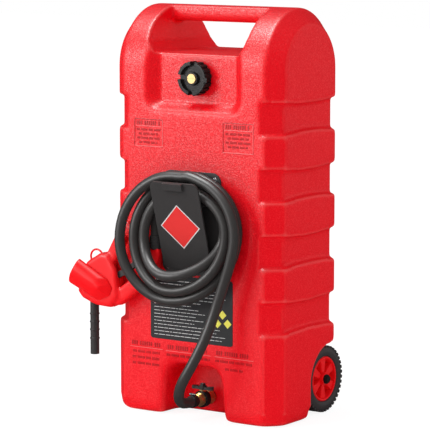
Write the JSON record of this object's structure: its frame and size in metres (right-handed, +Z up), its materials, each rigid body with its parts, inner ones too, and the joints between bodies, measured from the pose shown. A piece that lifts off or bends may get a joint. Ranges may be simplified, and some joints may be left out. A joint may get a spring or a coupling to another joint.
{
  "type": "wheeled fuel caddy",
  "caption": "Upright moulded fuel tank on two wheels with a carry bar, screw filler cap, shut-off valve, hose wound on a hanger and a trigger nozzle.",
  "frame": {"origin": "on the floor under the middle of the tank's foot", "axes": "+Z up, front of the tank towards -Y, +X to the right seen from the front"},
  "size_m": [0.478, 0.3634, 0.819],
  "materials": {
    "red_plastic": "moulded, fine grain",
    "black_plastic": "moulded",
    "hose_rubber": "smooth, soft sheen",
    "seal_rubber": "matte",
    "tyre_rubber": "matte, tread notches",
    "brass": "machined",
    "steel": "zinc plated",
    "seat_polymer": "smooth"
  },
  "bodies": {
    "caddy": {"tank_shell": "red_plastic", "hanger_base": "black_plastic", "hanger_plate": "black_plastic", "hanger_plate_screws": "steel", "hanger_base_screws": "steel", "hanger_inserts": "brass", "axle": "steel", "axle_washers": "steel", "axle_caps": "black_plastic", "bulkhead_fitting": "brass", "outlet_washer": "seal_rubber", "outlet_nut": "brass", "valve_body": "brass", "valve_seats": "seat_polymer", "hose_barb": "brass", "tail_clamp": "steel", "hose_tail": "hose_rubber", "hose_coil": "hose_rubber", "nozzle_ferrule": "black_plastic", "nozzle_front_shell": "red_plastic", "nozzle_rear_shell": "red_plastic", "nozzle_hood": "red_plastic", "hang_loop": "red_plastic", "spout": "black_plastic", "trigger_pin": "steel", "poppet_spring": "steel", "nozzle_screws": "steel"},
    "cap_seal": {"cap_gasket": "seal_rubber"},
    "cap": {"filler_cap": "black_plastic"},
    "vent": {"vent_screw": "brass"},
    "valve": {"valve_ball": "steel", "valve_stem": "steel", "valve_handle": "black_plastic", "handle_nut": "steel"},
    "left_wheel": {"left_tyre": "tyre_rubber", "left_rim": "red_plastic"},
    "right_wheel": {"right_tyre": "tyre_rubber", "right_rim": "red_plastic"},
    "trigger_lever": {"trigger": "black_plastic"},
    "nozzle_poppet": {"poppet": "brass"}
  },
  "joints": [
    {"name": "cap_turn", "type": "hinge", "parent": "cap_seal", "child": "cap", "pos_m": [0, -0.099, 0.68], "axis": [0, -1, 0], "range_deg": [0, 540]},
    {"name": "cap_travel", "type": "slide", "parent": "caddy", "child": "cap_seal", "axis": [0, -1, 0], "range_m": [0, 0.009]},
    {"name": "vent_turn", "type": "hinge", "parent": "cap", "child": "vent", "pos_m": [0, -0.099, 0.68], "axis": [0, -1, 0], "range_deg": [0, 270]},
    {"name": "valve_turn", "type": "hinge", "parent": "caddy", "child": "valve", "pos_m": [0, -0.085, 0.035], "axis": [0, 0, 1], "range_deg": [0, 90]},
    {"name": "left_wheel_spin", "type": "hinge", "parent": "caddy", "child": "left_wheel", "pos_m": [-0.166, 0.083, 0.068], "axis": [1, 0, 0], "continuous": true},
    {"name": "right_wheel_spin", "type": "hinge", "parent": "caddy", "child": "right_wheel", "pos_m": [0.166, 0.083, 0.068], "axis": [1, 0, 0], "continuous": true},
    {"name": "trigger_pull", "type": "hinge", "parent": "caddy", "child": "trigger_lever", "pos_m": [-0.244, -0.1393, 0.256], "axis": [0, -1, 0], "range_deg": [0, 10], "stiffness_Nm_per_rad": 3, "springref_deg": -5.73},
    {"name": "poppet_lift", "type": "slide", "parent": "caddy", "child": "nozzle_poppet", "axis": [0, 0, 1], "range_m": [0, 0.004], "deforming": ["poppet_spring"]}
  ],
  "couplings": [
    {"joint": "cap_travel", "follows": "cap_turn", "m_per_rad": 0.00093},
    {"joint": "poppet_lift", "follows": "trigger_pull", "m_per_rad": 0.0225}
  ]
}
